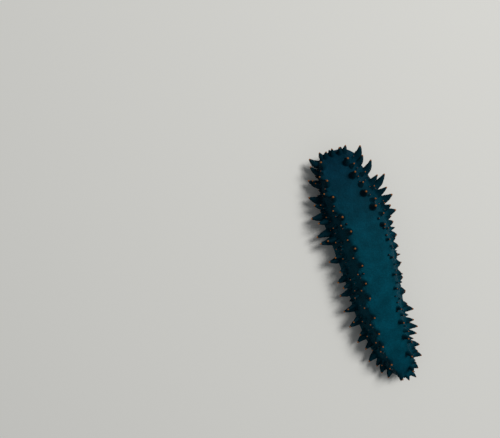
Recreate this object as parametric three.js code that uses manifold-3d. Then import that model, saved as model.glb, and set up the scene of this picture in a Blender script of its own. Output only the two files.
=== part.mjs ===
// A sea cucumber of the greenfish kind, creeping on its sole: a four-sided body with a flat back, cone-shaped
// papillae in double rows along its edges, three bands of tube feet under the sole, and the mouth under the head end.
// Millimetres. It lies along Y with the head end at -Y and its back up (+Z). The origin is on the floor, on the flat
// of the tube foot under the middle of the body. Its left side is at +X.
import * as THREE from "three";
import { mergeVertices } from "three/addons/utils/BufferGeometryUtils.js";
import Module from "manifold-3d";

const wasm = await Module();
wasm.setup();

// Driving dimensions
const bodyLength = 218;
const gap = 0.3; // between touching pieces
const soleSplitHeight = 4.6; // the creeping sole is the body below this height
const bodyCuts = [0.15, 0.385, 0.62, 0.85]; // between head end, trunk lengths and tail end

// Each outline below is [share of the length from the head end, value].
const soleHalfWidth = [[0, 17], [0.1, 21], [0.23, 29.5], [0.36, 29], [0.52, 26], [0.73, 22.5], [0.9, 17], [1, 12]];
const backHalfWidth = [[0, 12], [0.1, 15.5], [0.23, 19], [0.36, 19.5], [0.52, 17.5], [0.73, 15], [0.9, 11.5], [1, 8]];
const backHeight = [[0, 19], [0.1, 25], [0.25, 31], [0.45, 34.5], [0.7, 31], [0.88, 24.5], [1, 17]];
const soleHeight = [[0, 10], [0.08, 6], [0.15, 2.4], [0.2, 2], [0.9, 2], [1, 6]];
const sideways = [[0, 3], [0.15, -0.5], [0.3, 0], [0.5, 0], [0.75, 1.5], [0.9, -0.5], [1, -4]]; // the body's bend
const backLean = [[0, 5], [0.1, 9], [0.18, 8.5], [0.33, 0.5], [0.48, 0.5], [0.65, 2.5], [0.85, 1.5], [1, 0]];

const headRounding = { share: 0.055, power: 2.4 };
const tailRounding = { share: 0.1, power: 2.1 };
const marginShare = 0.18; // height share of the sole's widest edge
const flankHollow = 1.6; // above 1, the flanks are hollow between sole and back
const acrossPower = 0.52; // below 1, the section is squarer
const upperPower = 0.52;
const lowerPower = 0.36;
const ridgeAngle = 52; // degrees up from the side, where the back's two edges run
const ridgeSpread = 11;
const ridgeRise = 0.7;

const ringCount = 40;
const ringSides = 32;

const mix = (a, b, t) => a + (b - a) * t;
const radians = THREE.MathUtils.degToRad;
const upward = new THREE.Vector3(0, 0, 1);

// A smooth curve through [position, value] pairs.
function along(outline, u) {
  const last = outline.length - 1;
  let i = 0;
  while (i < last - 1 && u > outline[i + 1][0]) i += 1;
  const slope = (a, b) => (outline[b][1] - outline[a][1]) / (outline[b][0] - outline[a][0]);
  const tangent = (k) => slope(Math.max(k - 1, 0), Math.min(k + 1, last));
  const step = outline[i + 1][0] - outline[i][0];
  const t = (u - outline[i][0]) / step;
  const [y0, y1] = [outline[i][1], outline[i + 1][1]];
  const [m0, m1] = [tangent(i) * step, tangent(i + 1) * step];
  return y0 + m0 * t + (3 * (y1 - y0) - 2 * m0 - m1) * t * t + (2 * (y0 - y1) + m0 + m1) * t * t * t;
}

// Even-looking scatter between -1 and 1, the same on every run.
function scatter(index, salt) {
  const wave = Math.sin(index * 12.9898 + salt * 78.233) * 43758.5453;
  return 2 * (wave - Math.floor(wave)) - 1;
}

// 1 along the body, falling to 0 at each rounded end
function endScale(u) {
  const head = Math.min(u / headRounding.share, 1);
  const tail = Math.min((1 - u) / tailRounding.share, 1);
  return (
    (1 - (1 - head) ** headRounding.power) ** (1 / headRounding.power) *
    (1 - (1 - tail) ** tailRounding.power) ** (1 / tailRounding.power)
  );
}

// A point of the skin: u runs from head to tail, and angle goes round the body, 0 at the left side and 90 on the back.
function skinPoint(u, angle) {
  const c = Math.cos(radians(angle));
  const s = Math.sin(radians(angle));
  const upPower = s < 0 ? lowerPower : upperPower;
  const across = Math.sign(c) * Math.abs(c) ** acrossPower;
  const share = (1 + Math.sign(s) * Math.abs(s) ** upPower) / 2;
  const narrowing = 1 - (1 - Math.max(0, (share - marginShare) / (1 - marginShare))) ** flankHollow;
  const half = mix(along(soleHalfWidth, u), along(backHalfWidth, u), narrowing);
  const fromRidge = (Math.abs(90 - Math.abs(angle - 90)) - ridgeAngle) / ridgeSpread;
  const ridge = angle > 0 && angle < 180 ? ridgeRise * Math.exp(-fromRidge * fromRidge) : 0;
  const bottom = along(soleHeight, u);
  const top = along(backHeight, u);
  const middle = mix(bottom, top, 0.45);
  const shrink = endScale(u);
  const height = mix(bottom, top, share) + ridge;
  return new THREE.Vector3(
    along(sideways, u) + shrink * across * half + along(backLean, u) * share * shrink,
    (u - 0.5) * bodyLength,
    middle + shrink * (height - middle),
  );
}

function skinNormal(u, angle) {
  const du = 0.004;
  const da = 3;
  const lengthwise = skinPoint(Math.min(u + du, 1), angle).sub(skinPoint(Math.max(u - du, 0), angle));
  const round = skinPoint(u, angle + da).sub(skinPoint(u, angle - da));
  return lengthwise.cross(round).normalize();
}

// The angle at which the flank has this share of the body's height
function flankAngle(share) {
  const rise = 2 * share - 1;
  return THREE.MathUtils.radToDeg(
    Math.asin(Math.sign(rise) * Math.abs(rise) ** (1 / (rise < 0 ? lowerPower : upperPower))),
  );
}

// Angles that part the section at mid-body into equal lengths
function evenAngles(count) {
  const fine = 1440;
  const lengths = [0];
  for (let i = 1; i <= fine; i += 1) {
    const from = skinPoint(0.45, ((i - 1) / fine) * 360 - 90);
    lengths.push(lengths[i - 1] + from.distanceTo(skinPoint(0.45, (i / fine) * 360 - 90)));
  }
  const angles = [];
  let i = 0;
  for (let k = 0; k < count; k += 1) {
    while (lengths[i] < (k / count) * lengths[fine]) i += 1;
    angles.push((i / fine) * 360 - 90);
  }
  return angles;
}

function solidOf(geometry) {
  const plain = geometry.clone();
  plain.deleteAttribute("normal");
  plain.deleteAttribute("uv");
  const merged = mergeVertices(plain, 1e-4);
  return new wasm.Manifold(
    new wasm.Mesh({
      numProp: 3,
      vertProperties: merged.attributes.position.array,
      triVerts: new Uint32Array(merged.index.array),
    }),
  );
}

function geometryOf(solid) {
  const mesh = solid.getMesh();
  const geometry = new THREE.BufferGeometry();
  geometry.setAttribute("position", new THREE.BufferAttribute(new Float32Array(mesh.vertProperties), 3));
  geometry.setIndex(new THREE.BufferAttribute(mesh.triVerts, 1));
  geometry.computeVertexNormals();
  return geometry;
}

// Whole body, as rings from head to tail that close on a point at each end
function bodySolid() {
  const angles = evenAngles(ringSides);
  const positions = [];
  const faces = [];
  for (let r = 1; r < ringCount; r += 1) {
    const u = (1 - Math.cos((Math.PI * r) / ringCount)) / 2;
    for (const angle of angles) positions.push(...skinPoint(u, angle));
  }
  const ring = (r, k) => r * ringSides + (k % ringSides);
  for (let r = 0; r < ringCount - 2; r += 1) {
    for (let k = 0; k < ringSides; k += 1) {
      faces.push(ring(r, k), ring(r + 1, k), ring(r + 1, k + 1), ring(r, k), ring(r + 1, k + 1), ring(r, k + 1));
    }
  }
  const headTip = positions.length / 3;
  positions.push(...skinPoint(0, 0), ...skinPoint(1, 0));
  for (let k = 0; k < ringSides; k += 1) {
    faces.push(headTip, ring(0, k), ring(0, k + 1));
    faces.push(headTip + 1, ring(ringCount - 2, k + 1), ring(ringCount - 2, k));
  }
  const geometry = new THREE.BufferGeometry();
  geometry.setAttribute("position", new THREE.BufferAttribute(new Float32Array(positions), 3));
  geometry.setIndex(faces);
  return solidOf(geometry);
}

// A box with these lowest and highest corners
function block(low, high) {
  const size = new THREE.Vector3().subVectors(high, low);
  const centre = new THREE.Vector3().addVectors(low, high).multiplyScalar(0.5);
  return solidOf(new THREE.BoxGeometry(size.x, size.y, size.z).translate(centre.x, centre.y, centre.z));
}

// A turned shape that grows from root along direction; its profile is [radius, height] pairs
function turned(profile, sides, root, direction) {
  const points = profile.map(([radius, height]) => new THREE.Vector2(radius, height));
  const turn = new THREE.Quaternion().setFromUnitVectors(new THREE.Vector3(0, 1, 0), direction);
  const placed = new THREE.LatheGeometry(points, sides).applyQuaternion(turn).translate(root.x, root.y, root.z);
  return solidOf(placed);
}

// Papillae: cones whose root is sunk in the skin
const papillaSink = 2;
const papillaSides = 6;
const papillaFoot = 1.2; // width at the root and at the shoulder, in shares of the papilla's radius
const papillaShoulder = { width: 0.8, height: 0.45 };

function papilla({ u, angle, length, radius, forward, lift }) {
  const root = skinPoint(u, angle);
  const normal = skinNormal(u, angle);
  const direction = normal.clone().add(new THREE.Vector3(0, -forward, lift)).normalize();
  const foot = radius * papillaFoot;
  const shoulder = [radius * papillaShoulder.width, length * papillaShoulder.height];
  const profile = [[0, -papillaSink], [foot, -papillaSink], shoulder, [0, length]];
  return { y: root.y, solid: turned(profile, papillaSides, root, direction) };
}

// How far a papilla leans towards the head: much at the front, slightly back at the tail
const forwardLean = [[0, 1.3], [0.12, 0.75], [0.25, 0.2], [0.5, 0], [0.85, -0.2], [1, -0.9]];
const edgeLength = [[0, 8], [0.1, 12], [0.25, 13.5], [0.45, 11], [0.75, 10], [1, 6.5]];
// The right side's papillae are drawn in along the middle of the body, at the sole and a little on the back
const rightDrawnIn = [[0, 1], [0.26, 0.95], [0.36, 0.36], [0.66, 0.36], [0.76, 0.85], [1, 0.75]];
const rightRowSize = [[0, 1], [0.28, 1], [0.38, 0.62], [0.64, 0.62], [0.74, 0.85], [1, 0.85]];

// Shares of the length for a row, kept clear of the cuts between the body's nodes
function rowPlaces(count, from, to, salt, clearance) {
  const places = [];
  for (let i = 0; i < count; i += 1) {
    let u = mix(from, to, (i + 0.5 + 0.28 * scatter(i, salt)) / count);
    for (const cut of bodyCuts) {
      const away = u - cut;
      if (Math.abs(away) < clearance) u = cut + (away < 0 ? -clearance : clearance);
    }
    places.push(u);
  }
  return places;
}

const papillae = [];
for (const side of [1, -1]) {
  const onSide = (angle) => (side > 0 ? angle : 180 - angle);
  const salt = side > 0 ? 1 : 11;
  const drawnIn = (u) => (side > 0 ? 1 : along(rightDrawnIn, u));
  const rowSize = (u) => (side > 0 ? 1 : along(rightRowSize, u));
  // Double row along each edge of the back, large and small by turns
  rowPlaces(27, 0.045, 0.965, salt, 0.02).forEach((u, i) => {
    const large = i % 2 === 0;
    papillae.push(
      papilla({
        u,
        angle: onSide((large ? 57 : 45) + 3 * scatter(i, salt + 1)),
        length: (large ? 7.6 : 5.4) * (1 + 0.15 * scatter(i, salt + 2)) * rowSize(u),
        radius: (large ? 2.3 : 1.8) * rowSize(u),
        forward: along(forwardLean, u) * 0.5,
        lift: 0.5,
      }),
    );
  });
  // Small ones scattered over the flank
  rowPlaces(13, 0.1, 0.92, salt + 3, 0.02).forEach((u, i) => {
    papillae.push(
      papilla({
        u,
        angle: onSide(flankAngle(0.64 + 0.1 * scatter(i, salt + 4))),
        length: 4.8 * (1 + 0.2 * scatter(i, salt + 5)),
        radius: 1.6,
        forward: along(forwardLean, u) * 0.4,
        lift: 0.25,
      }),
    );
  });
  // Double row of the largest along the edge of the sole
  rowPlaces(28, 0.03, 0.975, salt + 6, 0.023).forEach((u, i) => {
    const lower = i % 2 === 0;
    papillae.push(
      papilla({
        u,
        angle: onSide(flankAngle(lower ? 0.27 : 0.42)),
        length: along(edgeLength, u) * (lower ? 1 : 0.8) * (1 + 0.15 * scatter(i, salt + 7)) * drawnIn(u),
        radius: lower ? 2.9 : 2.4,
        forward: along(forwardLean, u),
        lift: lower ? 0.02 : 0.15,
      }),
    );
  });
}
// Collar over the head end and a few round the vent
for (const angle of [35, 66, 90, 114, 145]) {
  papillae.push(papilla({ u: 0.02, angle, length: 6.5 + scatter(angle, 3), radius: 2, forward: 0.5, lift: 0.1 }));
}
for (const angle of [30, 90, 150]) {
  papillae.push(papilla({ u: 0.982, angle, length: 4.5, radius: 1.7, forward: -0.4, lift: 0.2 }));
}

// Tube feet: three bands of short stalks that end in flat suckers on the floor
const footPitch = 12.6;
const footReach = [-5, 7]; // first and last row, counted from the middle of the body
const footProfile = [[0, 0], [1.5, 0], [1.1, 4], [0, 4]];
const footSides = 6;
const footLanes = [-0.72, -0.56, -0.16, 0, 0.16, 0.56, 0.72]; // places across the sole, in shares of its half-width

const feet = [];
footLanes.forEach((lane, column) => {
  const stagger = column % 2 === 0 ? 0.25 : -0.25;
  for (let row = footReach[0]; row <= footReach[1]; row += 1) {
    const shift = lane === 0 ? 0 : stagger + 0.1 * scatter(row, column + 40);
    const y = (row + shift) * footPitch;
    const u = y / bodyLength + 0.5;
    if (bodyCuts.some((cut) => Math.abs(u - cut) < 0.012)) continue;
    const root = new THREE.Vector3(along(sideways, u) + lane * along(soleHalfWidth, u), y, 0);
    feet.push({ y, solid: turned(footProfile, footSides, root, upward) });
  }
});

// Mouth: a disc with shield-ended feeding tentacles, in a round seat under the head end
const mouth = new THREE.Vector3(along(sideways, 0.083), (0.083 - 0.5) * bodyLength, 0);
const mouthSeat = { radius: 10.5, top: 11 };
const mouthDisc = { bottom: 6.8, openingRadius: 2.4, openingDepth: 2.4 };
const tentacleCount = 18;
const tentacle = { rootRadius: 5.6, stalkRadius: 0.95, shieldRadius: 1.9, shieldThickness: 1.1, sides: 6 };
const shieldRings = [9.7, 7.2]; // by turns further out and further in
const shieldHeight = 1.2;

function mouthSolid() {
  const discRadius = mouthSeat.radius - gap;
  const discTop = mouthSeat.top - gap;
  const discProfile = [[0, mouthDisc.bottom], [discRadius, mouthDisc.bottom], [discRadius, discTop], [0, discTop]];
  const pieces = [turned(discProfile, 24, mouth, upward)];
  for (let i = 0; i < tentacleCount; i += 1) {
    const way = new THREE.Vector3(1, 0, 0).applyAxisAngle(upward, (i / tentacleCount) * 2 * Math.PI);
    const root = mouth.clone().addScaledVector(way, tentacle.rootRadius).setZ(mouthDisc.bottom + 1.5);
    const end = mouth.clone().addScaledVector(way, shieldRings[i % 2]).setZ(shieldHeight + 0.6);
    const stalk = end.clone().sub(root);
    const stalkProfile = [[0, 0], [tentacle.stalkRadius * 1.25, 0], [tentacle.stalkRadius, stalk.length()], [0, stalk.length()]];
    pieces.push(turned(stalkProfile, tentacle.sides, root, stalk.normalize()));
    const { shieldRadius, shieldThickness } = tentacle;
    const shieldProfile = [[0, 0], [shieldRadius * 0.75, 0], [shieldRadius, shieldThickness * 0.5], [0, shieldThickness * 1.6]];
    const shieldRoot = end.clone().setZ(shieldHeight - 0.5);
    pieces.push(turned(shieldProfile, tentacle.sides + 2, shieldRoot, upward));
  }
  const opening = { radius: mouthDisc.openingRadius, depth: mouthDisc.openingDepth };
  const openingProfile = [[0, -1], [opening.radius, -1], [opening.radius, 0], [0, opening.depth]];
  const openingRoot = mouth.clone().setZ(mouthDisc.bottom);
  return wasm.Manifold.union(pieces).subtract(turned(openingProfile, 10, openingRoot, upward));
}

// Vent: a small puckered pit at the tail's tip
const vent = { radius: 2.8, depth: 5 };

function ventSolid() {
  const root = skinPoint(1, 0).add(new THREE.Vector3(0, 1, 0));
  const profile = [[0, 0], [vent.radius + 0.6, 0], [vent.radius * 0.7, vent.depth * 0.5], [0, vent.depth + 1]];
  return turned(profile, 10, root, new THREE.Vector3(0, -1, 0));
}

// Nodes: the body is parted by thin cuts, and each length is fused with what grows from it
const flesh = new THREE.MeshStandardMaterial({ name: "back_skin", color: 0x0b3a4a, roughness: 0.55, metalness: 0 });
const soleSkin = new THREE.MeshStandardMaterial({ name: "sole_skin", color: 0x174544, roughness: 0.6, metalness: 0 });
const mouthFlesh = new THREE.MeshStandardMaterial({ name: "mouth", color: 0x2a4038, roughness: 0.6, metalness: 0 });

const group = new THREE.Group();

// Adds the largest closed surface of a solid as one named mesh
function addNode(name, solid, material) {
  const [largest] = solid.decompose().sort((a, b) => b.volume() - a.volume());
  const mesh = new THREE.Mesh(geometryOf(largest), material);
  mesh.name = name;
  group.add(mesh);
}

const seatProfile = [[0, -1], [mouthSeat.radius, -1], [mouthSeat.radius, mouthSeat.top], [0, mouthSeat.top]];
const body = bodySolid().subtract(turned(seatProfile, 24, mouth, upward)).subtract(ventSolid());
const beyond = 200;

// The body between two places along it and two heights, with the pieces that grow there
function stretch(from, to, low, high, pieces) {
  const box = block(new THREE.Vector3(-beyond, from, low), new THREE.Vector3(beyond, to, high));
  const own = pieces.filter(({ y }) => y > from && y < to).map(({ solid }) => solid);
  return wasm.Manifold.union([body.intersect(box), ...own]);
}

const lengths = [
  { name: "head_end" },
  { name: "trunk_front", sole: "sole_front" },
  { name: "trunk_middle", sole: "sole_middle" },
  { name: "trunk_rear", sole: "sole_rear" },
  { name: "tail_end" },
];
const edges = [-beyond, ...bodyCuts.map((cut) => (cut - 0.5) * bodyLength), beyond];
lengths.forEach(({ name, sole }, i) => {
  const from = edges[i] + gap / 2;
  const to = edges[i + 1] - gap / 2;
  if (sole) {
    addNode(name, stretch(from, to, soleSplitHeight + gap / 2, beyond, papillae), flesh);
    addNode(sole, stretch(from, to, -beyond, soleSplitHeight - gap / 2, feet), soleSkin);
  } else {
    addNode(name, stretch(from, to, -beyond, beyond, [...papillae, ...feet]), flesh);
  }
});
addNode("mouth_tentacles", mouthSolid(), mouthFlesh);

export default group;
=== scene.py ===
# %% [markdown]
# A greenfish sea cucumber, creeping on its sole. The real animal is one soft bag of muscle and skin with
# four corners: a flat back, two hollow flanks and a creeping sole. This lesson dresses a plain model of it,
# in metres, with the head end at -Y, the tail at +Y and the back up. One fine skin takes the place of all
# the body's plain lengths, and papillae, tube feet and feeding tentacles are grown on it by Geometry Nodes.

# %% Load the plain model that fixes every size
import math

import bpy
import numpy as np
from mathutils import Matrix, Vector


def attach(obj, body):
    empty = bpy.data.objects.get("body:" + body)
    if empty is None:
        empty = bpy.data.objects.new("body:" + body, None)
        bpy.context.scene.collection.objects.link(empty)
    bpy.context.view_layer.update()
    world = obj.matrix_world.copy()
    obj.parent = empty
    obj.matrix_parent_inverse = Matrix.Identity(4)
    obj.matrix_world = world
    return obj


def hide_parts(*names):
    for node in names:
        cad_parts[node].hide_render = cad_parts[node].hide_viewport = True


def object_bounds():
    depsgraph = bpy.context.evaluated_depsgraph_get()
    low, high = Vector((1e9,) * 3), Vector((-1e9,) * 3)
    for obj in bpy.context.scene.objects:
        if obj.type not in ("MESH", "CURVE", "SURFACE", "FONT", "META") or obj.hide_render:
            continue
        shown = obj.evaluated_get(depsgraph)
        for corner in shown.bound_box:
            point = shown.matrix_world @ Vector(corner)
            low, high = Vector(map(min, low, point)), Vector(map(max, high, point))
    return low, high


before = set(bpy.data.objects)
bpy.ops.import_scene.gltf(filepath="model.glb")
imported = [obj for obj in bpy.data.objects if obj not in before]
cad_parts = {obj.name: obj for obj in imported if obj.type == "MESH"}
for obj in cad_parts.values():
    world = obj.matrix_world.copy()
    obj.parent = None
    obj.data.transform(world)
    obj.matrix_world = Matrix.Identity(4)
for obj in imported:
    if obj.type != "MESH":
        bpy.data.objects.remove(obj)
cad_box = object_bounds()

MM = 0.001
scene = bpy.context.scene
print("plain model from", [round(v, 4) for v in cad_box[0]], "to", [round(v, 4) for v in cad_box[1]])

# %% [markdown]
# The camera comes first, because it decides how the model is judged. The photograph looks straight down on
# the back from about forty centimetres, and the body lies a little askew in it. A camera is only a place
# and three directions, so both are written as a matrix: its right, its up, and the direction that it looks
# away from.

# %% Camera over the back
CAMERA_PLACE = Vector((0.0942, -0.0701, 0.407))
BODY_ASKEW = math.radians(16)
FOCAL_MM, SENSOR_MM = 31.18, 36.0

camera_data = bpy.data.cameras.new("camera")
camera_data.lens, camera_data.sensor_width = FOCAL_MM, SENSOR_MM
camera_data.clip_start = 0.01
camera = bpy.data.objects.new("camera", camera_data)
right = Vector((-math.cos(BODY_ASKEW), math.sin(BODY_ASKEW), 0))
up = Vector((-math.sin(BODY_ASKEW), -math.cos(BODY_ASKEW), 0))
turn = Matrix((right, up, right.cross(up))).transposed().to_4x4()
camera.matrix_world = Matrix.Translation(CAMERA_PLACE) @ turn
scene.collection.objects.link(camera)
scene.camera = camera
print("camera", round(CAMERA_PLACE.z * 100, 1), "cm above the floor")

# %% [markdown]
# The body's shape follows a rule: a few outlines say how wide and how high it is from head to tail, and a
# rounded square says how each slice goes round. The outlines are pairs of a share of the length and a size
# in millimetres, and a smooth curve runs through them. Writing the rule once lets the skin and everything
# on it share it.

# %% Outlines of the body
BODY_LENGTH = 218 * MM
SOLE_HALF_WIDTH = [(0, 17), (0.1, 21), (0.23, 29.5), (0.36, 29), (0.52, 26), (0.73, 22.5), (0.9, 17),
                   (1, 12)]
BACK_HALF_WIDTH = [(0, 12), (0.1, 15.5), (0.23, 19), (0.36, 19.5), (0.52, 17.5), (0.73, 15), (0.9, 11.5),
                   (1, 8)]
BACK_HEIGHT = [(0, 19), (0.1, 25), (0.25, 31), (0.45, 34.5), (0.7, 31), (0.88, 24.5), (1, 17)]
SOLE_HEIGHT = [(0, 10), (0.08, 6), (0.15, 2.4), (0.2, 2), (0.9, 2), (1, 6)]
SIDEWAYS = [(0, 3), (0.15, -0.5), (0.3, 0), (0.5, 0), (0.75, 1.5), (0.9, -0.5), (1, -4)]
BACK_LEAN = [(0, 5), (0.1, 9), (0.18, 8.5), (0.33, 0.5), (0.48, 0.5), (0.65, 2.5), (0.85, 1.5), (1, 0)]


def along(outline, u, unit=MM):
    """The smooth curve through an outline's pairs, read at shares u of the length."""
    at, value = np.array(outline, float).T
    value = value * unit
    last = len(at) - 1
    place = np.arange(last + 1)
    before, after = np.maximum(place - 1, 0), np.minimum(place + 1, last)
    tangent = (value[after] - value[before]) / (at[after] - at[before])
    i = np.clip(np.searchsorted(at, u, side="left") - 1, 0, last - 1)
    step = at[i + 1] - at[i]
    t = (u - at[i]) / step
    rise = value[i + 1] - value[i]
    start, end = tangent[i] * step, tangent[i + 1] * step
    return value[i] + start * t + (3 * rise - 2 * start - end) * t**2 + (start + end - 2 * rise) * t**3


def scatter(index, salt):
    """Even-looking scatter between -1 and 1, the same on every run."""
    wave = np.sin(np.asarray(index, float) * 12.9898 + salt * 78.233) * 43758.5453
    return 2 * (wave - np.floor(wave)) - 1


def smooth(low, high, x):
    """0 below low, 1 above high, and a soft step between."""
    t = np.clip((x - low) / (high - low), 0, 1)
    return t * t * (3 - 2 * t)


print("back", round(float(along(BACK_HEIGHT, 0.45)) * 1000, 1), "mm high at its highest")

# %% Skin point, normal and flank angle
HEAD_ROUNDING = (0.055, 2.4)  # share of the length that it takes, and how blunt it is
TAIL_ROUNDING = (0.1, 2.1)
END_SHARE_OF_HEIGHT = 0.45  # where the head's and the tail's tips lie between sole and back
MARGIN_SHARE = 0.18  # height share of the sole's widest edge
FLANK_HOLLOW = 1.6
ACROSS_POWER, UPPER_POWER, LOWER_POWER = 0.52, 0.52, 0.36
RIDGE_ANGLE, RIDGE_SPREAD, RIDGE_RISE = 52, 11, 0.7 * MM


def end_scale(u):
    """1 along the body, falling to 0 at each rounded end."""
    scale = 1.0
    for near, (share, power) in ((u, HEAD_ROUNDING), (1 - u, TAIL_ROUNDING)):
        scale = scale * (1 - (1 - np.clip(near / share, 0, 1)) ** power) ** (1 / power)
    return scale


def height_share(angle):
    """How high a slice's skin lies at an angle: 0 on the sole and 1 on the back."""
    s = np.sin(np.radians(angle))
    return (1 + np.sign(s) * np.abs(s) ** np.where(s < 0, LOWER_POWER, UPPER_POWER)) / 2


def skin_point(u, angle):
    """Points of the skin: u runs from head to tail, and angle goes round, 0 at the left, 90 on the back."""
    u, angle = np.broadcast_arrays(np.asarray(u, float), np.asarray(angle, float))
    c, s = np.cos(np.radians(angle)), np.sin(np.radians(angle))
    across = np.sign(c) * np.abs(c) ** ACROSS_POWER
    share = height_share(angle)
    up_flank = np.clip((share - MARGIN_SHARE) / (1 - MARGIN_SHARE), 0, 1)
    narrowing = 1 - (1 - up_flank) ** FLANK_HOLLOW
    sole_half, back_half = along(SOLE_HALF_WIDTH, u), along(BACK_HALF_WIDTH, u)
    half = sole_half + (back_half - sole_half) * narrowing
    from_ridge = (np.degrees(np.arcsin(np.abs(s))) - RIDGE_ANGLE) / RIDGE_SPREAD
    ridge = np.where(s > 0, RIDGE_RISE * np.exp(-(from_ridge**2)), 0)
    bottom, top = along(SOLE_HEIGHT, u), along(BACK_HEIGHT, u)
    middle = bottom + (top - bottom) * END_SHARE_OF_HEIGHT
    height = bottom + (top - bottom) * share + ridge
    shrink = end_scale(u)
    x = along(SIDEWAYS, u) + shrink * across * half + along(BACK_LEAN, u) * share * shrink
    return np.stack([x, (u - 0.5) * BODY_LENGTH, middle + shrink * (height - middle)], -1)


def unit(vectors):
    return vectors / np.maximum(np.linalg.norm(vectors, axis=-1, keepdims=True), 1e-12)


def skin_normal(u, angle, near_u=0.004, near_angle=3):
    """The way out of the skin, from neighbouring points along the body and round it."""
    u, angle = np.asarray(u, float), np.asarray(angle, float)
    lengthwise = skin_point(np.minimum(u + near_u, 1), angle) - skin_point(np.maximum(u - near_u, 0), angle)
    return unit(np.cross(lengthwise, skin_point(u, angle + near_angle) - skin_point(u, angle - near_angle)))


def flank_angle(share):
    """The angle at which the flank has this share of the body's height."""
    rise = 2 * np.asarray(share, float) - 1
    power = np.where(rise < 0, LOWER_POWER, UPPER_POWER)
    return np.degrees(np.arcsin(np.sign(rise) * np.abs(rise) ** (1 / power)))


print("widest slice", round(float(np.ptp(skin_point(0.25, np.arange(360))[:, 0])) * 1000, 1), "mm")

# %% [markdown]
# Papillae are the soft cones that name this animal. They stand in a double row along each edge of the back
# and of the sole, with a few between, and lean towards the head at the front. Before anything is modelled,
# only their places and sizes are worked out, because the skin has to swell under each one. The large ones
# stand where the plain model has them, and small ones fill the gaps.

# %% Places of the papillae
BODY_CUTS = (0.15, 0.385, 0.62, 0.85)  # the rows of large papillae keep clear of these shares of the length
FORWARD_LEAN = [(0, 1.3), (0.12, 0.75), (0.25, 0.2), (0.5, 0), (0.85, -0.2), (1, -0.9)]
EDGE_LENGTH = [(0, 8), (0.1, 12), (0.25, 13.5), (0.45, 11), (0.75, 10), (1, 6.5)]
RIGHT_DRAWN_IN = [(0, 1), (0.26, 0.95), (0.36, 0.36), (0.66, 0.36), (0.76, 0.85), (1, 0.75)]
RIGHT_ROW_SIZE = [(0, 1), (0.28, 1), (0.38, 0.62), (0.64, 0.62), (0.74, 0.85), (1, 0.85)]
# Each row is a count with its first and last share of the length.
BACK_EDGE, FLANK, SOLE_EDGE = (27, 0.045, 0.965), (13, 0.1, 0.92), (28, 0.03, 0.975)
FINE_BACK_EDGE, FINE_FLANK, FINE_SOLE_EDGE = (46, 0.02, 0.975), (52, 0.04, 0.96), (34, 0.02, 0.98)


def row_places(row, salt, clearance=0.0):
    """Shares of the length for a row of papillae, unevenly spaced and clear of the plain model's cuts."""
    count, first, last = row
    i = np.arange(count)
    u = first + (last - first) * (i + 0.5 + 0.28 * scatter(i, salt)) / count
    for cut in BODY_CUTS:
        away = u - cut
        u = np.where(np.abs(away) < clearance, cut + np.where(away < 0, -clearance, clearance), u)
    return i, u


def papilla_rows(side):
    """Large papillae on one side of the body, +1 for left: u, angle, length, radius, forward and lift."""
    salt = 1 if side > 0 else 11
    i, u = row_places(BACK_EDGE, salt, 0.02)
    large = i % 2 == 0
    angle = np.where(large, 57, 45) + 3 * scatter(i, salt + 1)
    row_size = 1 if side > 0 else along(RIGHT_ROW_SIZE, u, 1)
    length = np.where(large, 7.6, 5.4) * (1 + 0.15 * scatter(i, salt + 2)) * row_size
    yield u, angle, length, np.where(large, 2.3, 1.8) * row_size, along(FORWARD_LEAN, u, 0.5), 0.5
    i, u = row_places(FLANK, salt + 3, 0.02)
    angle = flank_angle(0.64 + 0.1 * scatter(i, salt + 4))
    yield u, angle, 4.8 * (1 + 0.2 * scatter(i, salt + 5)), 1.6, along(FORWARD_LEAN, u, 0.4), 0.25
    i, u = row_places(SOLE_EDGE, salt + 6, 0.023)
    lower = i % 2 == 0
    drawn_in = 1 if side > 0 else along(RIGHT_DRAWN_IN, u, 1)
    length = along(EDGE_LENGTH, u, 1) * np.where(lower, 1, 0.8) * (1 + 0.15 * scatter(i, salt + 7)) * drawn_in
    angle, radius = flank_angle(np.where(lower, 0.27, 0.42)), np.where(lower, 2.9, 2.4)
    yield u, angle, length, radius, along(FORWARD_LEAN, u, 1), np.where(lower, 0.02, 0.15)


def small_rows(side):
    """Small papillae between the large ones, in the same order of values."""
    salt = 31 if side > 0 else 51
    i, u = row_places(FINE_BACK_EDGE, salt)
    length = 2.5 * (1 + 0.4 * scatter(i, salt + 2))
    yield u, 51 + 12 * scatter(i, salt + 1), length, 1.05 + 0.2 * scatter(i, salt + 3), 0.1, 0.3
    i, u = row_places(FINE_FLANK, salt + 4)
    angle = flank_angle(0.55 + 0.22 * scatter(i, salt + 5))
    yield u, angle, 2.3 * (1 + 0.4 * scatter(i, salt + 6)), 1.0, along(FORWARD_LEAN, u, 0.4), 0.2
    i, u = row_places(FINE_SOLE_EDGE, salt + 7)
    angle = flank_angle(0.35 + 0.13 * scatter(i, salt + 8))
    yield u, angle, 3.4 * (1 + 0.35 * scatter(i, salt + 9)), 1.35, along(FORWARD_LEAN, u, 0.8), 0.05


def gather(rows):
    """Rows of values of any kind, as one array with a line for each papilla."""
    blocks = [np.stack(np.broadcast_arrays(*row), -1).reshape(-1, 6) for row in rows]
    return np.concatenate(blocks)


def mirrored(rows, side):
    for u, angle, *others in rows:
        yield (u, angle if side > 0 else 180 - np.asarray(angle), *others)


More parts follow.
